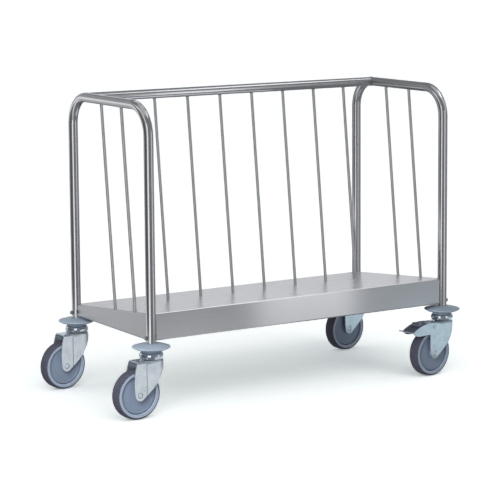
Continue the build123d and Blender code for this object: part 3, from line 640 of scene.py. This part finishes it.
# %% Moulded plastic and rubber: rims, guards, tyres and brake shoes
# Polypropylene rim: a lighter ring beside the tyre
finishes["rim_plastic"] = moulded(
    "grey_blue_polypropylene_rim", "#9eacbf", "#92a0b3",
    roughness=0.42, grain_mm=0.5, grain_depth=0.05, index=1.49)
# Polypropylene guard: darker, satin
finishes["guard_plastic"] = moulded(
    "grey_blue_polypropylene_guard", "#808ea3", "#748297",
    roughness=0.40, grain_mm=0.5, grain_depth=0.05, index=1.49)
# Thermoplastic rubber tyre: dark grey with a hint of violet, almost matt
finishes["grey_rubber"] = moulded(
    "grey_thermoplastic_rubber", "#4c4d5a", "#40414e",
    roughness=0.62, grain_mm=0.8, grain_depth=0.08, index=1.52)
# Black rubber of the brake shoes: deep and matt
finishes["brake_rubber"] = moulded(
    "black_brake_rubber", "#2b2b2c", "#232324",
    roughness=0.70, grain_mm=0.8, grain_depth=0.08, index=1.52)
print("moulded finishes done,", len(finishes), "in all")

# %% [markdown]
# ## Weld beads
# The frame is welded by hand with a torch, and each joint keeps a fine rippled bead: a ring where a bar
# runs into its tube, a saddle where the back rail meets the end frames, a short seam where an apron
# meets a post, and stitches under the deck. A bump could only hint at them, but a bead also breaks the
# outline of a tube, so they are modelled. A ring starts as a torus, and its sections are set on the
# tube's curve one by one.

# %% Weld finish and ring bead
# Brushed weld: a little darker and duller than the polished tube beside it
finishes["weld_bead"] = polished_steel(
    "brushed_weld_bead", "#8f8e8e", "#7b7a79", roughness=0.34, grit_mm=0.5, cloud_mm=5)
RIPPLE = 0.10  # how much thicker or thinner every other section of a bead is


def ring_weld(radius, thickness, sections, rise, lean=0.0, place=(0, 0, 0)):
    """A rippled ring round the Z axis, each section raised along Z, then leant and put in its place."""
    bpy.ops.object.select_all(action="DESELECT")
    bpy.ops.mesh.primitive_torus_add(
        major_segments=sections, minor_segments=8,
        major_radius=radius * MM, minor_radius=thickness / 2 * MM)
    ring = bpy.context.object
    bpy.ops.object.mode_set(mode="EDIT")
    bpy.ops.mesh.select_mode(type="VERT")
    step = 2 * pi / sections
    for number in range(sections):
        angle = number * step
        bpy.ops.mesh.select_all(action="DESELECT")
        shape = bmesh.from_edit_mesh(ring.data)
        for vertex in shape.verts:
            off = (atan2(vertex.co.y, vertex.co.x) - angle + pi) % (2 * pi) - pi
            vertex.select_set(abs(off) < step / 2)
        shape.select_flush_mode()
        bmesh.update_edit_mesh(ring.data)
        ripple = 1 + (RIPPLE if number % 2 else -RIPPLE)
        middle = (radius * MM * cos(angle), radius * MM * sin(angle), 0)
        bpy.ops.transform.resize(value=[ripple] * 3, center_override=middle)
        bpy.ops.transform.translate(value=(0, 0, rise(angle) * MM))
    bpy.ops.object.mode_set(mode="OBJECT")
    bpy.ops.object.shade_smooth()
    ring.rotation_euler = (lean, 0, 0)
    ring.location = Vector(place) * MM
    bpy.ops.object.transform_apply(location=True, rotation=True)
    return ring


print("weld ripples: plus and minus", RIPPLE)

# %% [markdown]
# ### Straight beads and copies
# A straight bead could be a stretched ball, but a torch lays it down drop by drop, so it grows the same
# way: a small disc, extruded ripple after ripple. Beads repeat, so each kind is modelled once and copied,
# every copy with a mesh of its own.

# %% Straight bead, copies and fitting
RIPPLE_PAIR = 2.4  # millimetres that a thick and a thin section take together
BEAD_END = 0.5  # share of its full width that a bead has at its ends


def straight_weld(length, thickness):
    """A bead along Z from the origin: a disc extruded ripple by ripple, thin at both ends."""
    bpy.ops.object.select_all(action="DESELECT")
    bpy.ops.mesh.primitive_circle_add(
        vertices=10, radius=thickness / 2 * BEAD_END * MM, fill_type="NGON")
    bead = bpy.context.object
    bpy.ops.object.mode_set(mode="EDIT")
    bpy.ops.mesh.select_all(action="SELECT")
    ripples = 2 * round(length / RIPPLE_PAIR)
    advance = length / ripples * MM
    width = BEAD_END
    for number in range(1, ripples + 1):
        swell = BEAD_END if number == ripples else 1 + (RIPPLE if number % 2 else -RIPPLE)
        bpy.ops.mesh.extrude_region_move(TRANSFORM_OT_translate={"value": (0, 0, advance)})
        bpy.ops.transform.resize(
            value=(swell / width, swell / width, 1), center_override=(0, 0, number * advance))
        width = swell
    bpy.ops.mesh.select_all(action="SELECT")
    bpy.ops.mesh.normals_make_consistent(inside=False)
    bpy.ops.object.mode_set(mode="OBJECT")
    bpy.ops.object.shade_smooth_by_angle(angle=radians(50))
    return bead


def copy_to(piece, shift, mirrored=False):
    """A copy with its own mesh, mirrored left to right if asked, and shifted in millimetres."""
    bpy.ops.object.select_all(action="DESELECT")
    piece.select_set(True)
    bpy.context.view_layer.objects.active = piece
    bpy.ops.object.duplicate()
    copy = bpy.context.object
    if mirrored:
        bpy.ops.object.mode_set(mode="EDIT")
        bpy.ops.mesh.select_all(action="SELECT")
        bpy.ops.transform.resize(value=(-1, 1, 1), center_override=(0, 0, 0))
        bpy.ops.mesh.normals_make_consistent(inside=False)
        bpy.ops.object.mode_set(mode="OBJECT")
    copy.location = Vector(shift) * MM
    bpy.ops.object.transform_apply(location=True)
    return copy


def fit_weld(piece, name):
    """Names a weld, gives it its finish and fixes it to the frame."""
    piece.name = name
    piece.data.materials.append(finishes["weld_bead"])
    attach(piece, "frame")


print("a straight bead takes a pair of ripples every", RIPPLE_PAIR, "mm")

# %% [markdown]
# ### Where the back rail meets the end frames
# Rail and end frames are tubes of one diameter, so the seam between them is a saddle that starts at the
# side of the end frame's tube and climbs to its crown. It could be cut from two cylinders, but a ring
# whose sections rise with the sine of their angle is the same curve. It is made round Z for the left
# end, laid down along the rail, and mirrored for the right end. Its size and place come from the rail.

# %% Saddle welds at the rail's ends
RAIL_BEAD = 1.9
RAIL_BEAD_SINK = 0.1  # how far the bead's middle lies inside the tube's surface


def box_in_mm(node):
    """Lowest and highest corner of a CAD piece."""
    return [Vector(corner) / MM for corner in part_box(node)]


rail_low, rail_high = box_in_mm("back_rail")
rail_middle = (rail_low + rail_high) / 2
tube_radius = (rail_high.z - rail_low.z) / 2
post_x = rail_high.x
saddle = ring_weld(
    tube_radius - RAIL_BEAD_SINK, RAIL_BEAD, 48, lambda angle: tube_radius * abs(sin(angle)))
saddle.rotation_euler = (0, pi / 2, 0)
saddle.location = Vector((-post_x, rail_middle.y, rail_middle.z)) * MM
bpy.ops.object.transform_apply(location=True, rotation=True)
right_saddle = copy_to(saddle, (0, 0, 0), mirrored=True)
fit_weld(saddle, "left_rail_weld")
fit_weld(right_saddle, "right_rail_weld")
print("rail welds:", len(saddle.data.polygons), "faces each, on a tube of radius", round(tube_radius, 2))

# %% [markdown]
# ### Where the bars run into the tubes
# Each bar leans back by 6.5 degrees and ends under its tube. A back bar meets the rail in the middle, so
# its ring rises and falls by only 0.8 mm. A side bar stands 5 mm inside its tube's middle, so its ring
# climbs the tube's side. Both could be fitted by eye, but they follow from the tube's circle. Under the
# deck a flat ring holds the bar's foot.

# %% Shape of the bars' rings
BAR_LEAN = radians(6.5)
BEAD_OUTSET = 0.3  # from the bar's surface to the middle of its bead
DECK_FALL = 40.0
DECK_MIDDLE = 239.5  # height of the deck's top halfway between front and back
SHEET = 1.5
deck_low, deck_high = box_in_mm("deck")
deck_slope = DECK_FALL / (deck_high.y - deck_low.y)
bar_low, bar_high = box_in_mm("right_side_bar_front")
side_bar_x = (bar_low.x + bar_high.x) / 2
bar_ring = (bar_high.x - bar_low.x) / 2 + BEAD_OUTSET


def under_rail(angle):
    """Height of a back bar's ring, measured from the rail's axis."""
    return -sqrt(tube_radius ** 2 - (bar_ring * sin(angle)) ** 2)


def under_side_tube(angle):
    """Height of a side bar's ring along the bar, measured from its tube's axis."""
    across = post_x - side_bar_x + bar_ring * cos(angle)
    return (bar_ring * sin(angle) * sin(BAR_LEAN) - sqrt(tube_radius ** 2 - across ** 2)) / cos(BAR_LEAN)


def foot_place(x, top_y):
    """Where a bar comes out under the deck, from where its axis meets the tube's."""
    drop = rail_middle.z - DECK_MIDDLE + deck_slope * top_y
    length = drop / (cos(BAR_LEAN) + deck_slope * sin(BAR_LEAN)) + SHEET
    return Vector((x, top_y - length * sin(BAR_LEAN), rail_middle.z - length * cos(BAR_LEAN)))


print("a back bar's foot is at", [round(v, 1) for v in foot_place(0, rail_middle.y)])

# %% [markdown]
# ### The bars' rings in their places
# Twelve bars have a ring at each end. Only three rings are modelled. The copies on the back bars take
# their places from the bars themselves, so that they stay on them if the bars move; on the side bars
# they sit a listed distance in front of and behind the middle.

# %% Ring welds on the bars
BAR_BEAD, FOOT_BEAD = 1.7, 2.0
BACK_BARS = 8
SIDE_BAR_Y = 53.0  # from the middle to where a side bar's axis meets its tube's
back_ring = ring_weld(bar_ring, BAR_BEAD, 24, under_rail, -BAR_LEAN, (0, *rail_middle.yz))
side_ring = ring_weld(
    bar_ring, BAR_BEAD, 24, under_side_tube, -BAR_LEAN, (-side_bar_x, 0, rail_middle.z))
foot_ring = ring_weld(bar_ring, FOOT_BEAD, 24, lambda angle: 0.0, -atan2(deck_slope, 1))
for number in range(1, BACK_BARS + 1):
    bar = f"back_bar_{number}"
    x = sum(corner.x for corner in box_in_mm(bar)) / 2
    fit_weld(copy_to(back_ring, (x, 0, 0)), f"{bar}_weld")
    fit_weld(copy_to(foot_ring, foot_place(x, rail_middle.y)), f"{bar}_foot_weld")
for end, mirrored, x in (("left", False, -side_bar_x), ("right", True, side_bar_x)):
    for row, y in (("rear", SIDE_BAR_Y), ("front", -SIDE_BAR_Y)):
        bar = f"{end}_side_bar_{row}"
        fit_weld(copy_to(side_ring, (0, y, 0), mirrored), f"{bar}_weld")
        fit_weld(copy_to(foot_ring, foot_place(x, y)), f"{bar}_foot_weld")
for pattern in (back_ring, side_ring, foot_ring):
    bpy.data.objects.remove(pattern)
print("bar welds on", BACK_BARS, "back bars and 4 side bars")

# %% [markdown]
# ### Seams on the posts
# The aprons are welded to the posts from outside, below the notch at the deck's corner. A seam could be a
# ring round the post, as on the bars, but apron and post meet along an upright line, so a straight bead
# does it.

# %% Post seams
SEAM_BEAD = 2.2
FRONT_SEAM, REAR_SEAM = 53.0, 14.0
SEAM_FOOT = 3.0  # from the apron's lower edge to the seam
post_y = box_in_mm("right_end_frame")[1].y - tube_radius
corner_reach = sqrt(tube_radius ** 2 - (deck_high.x - post_x) ** 2)
for row, sign, length in (("front", -1, FRONT_SEAM), ("rear", 1, REAR_SEAM)):
    seam = straight_weld(length, SEAM_BEAD)
    for end, side in (("left", -1), ("right", 1)):
        foot = deck_low.z + SEAM_FOOT
        long_apron = (side * (post_x - corner_reach), sign * deck_high.y, foot)
        end_apron = (side * deck_high.x, sign * (post_y - corner_reach), foot)
        fit_weld(copy_to(seam, long_apron), f"{row}_{end}_apron_weld")
        fit_weld(copy_to(seam, end_apron), f"{row}_{end}_end_weld")
    bpy.data.objects.remove(seam)
print("post seams:", FRONT_SEAM, "mm in front and", REAR_SEAM, "mm behind")

# %% [markdown]
# ### Stitches under the deck
# Each stiffening channel is held by short stitches along both flanges. A whole seam would warp thin
# sheet, so a fabricator welds 25 mm and leaves 125 mm free. The stitches of a channel are joined into one
# piece.

# %% Channel stitches
STITCH_LENGTH, STITCH_PITCH, STITCHES = 25.0, 150.0, 6
STITCH_DROP = 0.6  # from the sheet's underside to the middle of the bead
stitch = straight_weld(STITCH_LENGTH, SEAM_BEAD)
stitch.rotation_euler = (0, pi / 2, 0)
bpy.ops.object.transform_apply(rotation=True)
for row in ("front", "rear"):
    low, high = box_in_mm(f"{row}_deck_channel")
    stitches = []
    for y in (low.y, high.y):
        z = DECK_MIDDLE - deck_slope * y - SHEET - STITCH_DROP
        for number in range(STITCHES):
            x = (number - (STITCHES - 1) / 2) * STITCH_PITCH - STITCH_LENGTH / 2
            stitches.append(copy_to(stitch, (x, y, z)))
    bpy.ops.object.select_all(action="DESELECT")
    for piece in stitches:
        piece.select_set(True)
    bpy.context.view_layer.objects.active = stitches[0]
    bpy.ops.object.join()
    fit_weld(stitches[0], f"{row}_channel_stitches")
    print(row, "channel:", len(stitches), "stitches,", len(stitches[0].data.polygons), "faces")
bpy.data.objects.remove(stitch)

# %% [markdown]
# ## Finishes on the CAD pieces
# The record names a material slot for every CAD piece, so each piece gets the finish made for its slot.
# The finishes could be given piece by piece, but then a new piece would be forgotten. The pedals alone
# have a finish of their own: a darker copy of the plating, as painted shade from the deck above them.

# %% Assign the finishes
for part in frame["record"]["subparts"]:
    node = frame["nodes"][part["node"]]
    # the pedals take the darker copy of the plating, painted shade from the deck above
    finish = "brake_pedal" if part["node"].endswith("brake_pedal") else part["material_slot"]
    for holder in node.material_slots:
        holder.material = finishes[finish]
